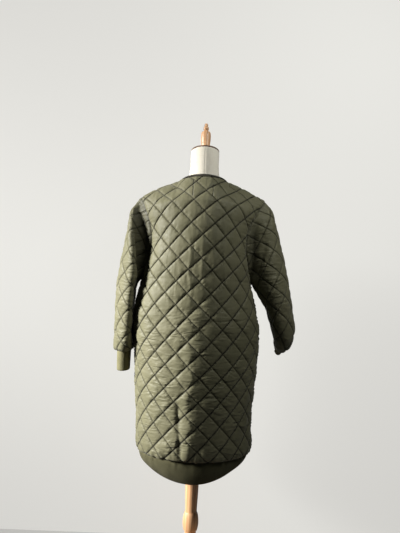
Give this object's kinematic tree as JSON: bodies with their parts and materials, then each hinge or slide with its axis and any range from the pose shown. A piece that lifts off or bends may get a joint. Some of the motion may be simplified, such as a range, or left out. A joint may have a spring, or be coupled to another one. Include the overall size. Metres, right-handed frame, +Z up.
{
  "type": "quilted coat on a dress form",
  "caption": "Long padded coat quilted in diamonds, with rib-knit cuffs and hem and a bound round neck, worn by a limbless dress form on a turned wooden stand.",
  "frame": {"origin": "centre of the stand's underside, on the floor", "axes": "+Z up the pole, +Y towards the coat's back, +X towards the wearer's left"},
  "size_m": [0.6417, 0.3649, 1.597],
  "materials": {
    "olive_satin": "olive quilted satin nylon, soft sheen",
    "olive_rib": "dark olive rib knit, matt",
    "dark_binding": "dark woven binding",
    "dull_brass": "dull antique snap caps",
    "cream_linen": "cream linen cover, matt",
    "brown_trim": "brown cord trim",
    "turned_wood": "clear satin varnish"
  },
  "bodies": {
    "root": {"back": "olive_satin", "front_left": "olive_satin", "front_right": "olive_satin", "sleeve_left": "olive_satin", "sleeve_right": "olive_satin", "cuff_left": "olive_rib", "cuff_right": "olive_rib", "hem_rib": "olive_rib", "neck_binding": "dark_binding", "front_band": "olive_satin", "form_body": "cream_linen", "neck_cap": "cream_linen", "neck_trim": "brown_trim", "finial": "turned_wood", "pole": "turned_wood", "base": "turned_wood", "snap_1": "dull_brass", "snap_2": "dull_brass", "snap_3": "dull_brass", "snap_4": "dull_brass", "snap_5": "dull_brass", "snap_6": "dull_brass", "snap_7": "dull_brass"}
  },
  "joints": []
}
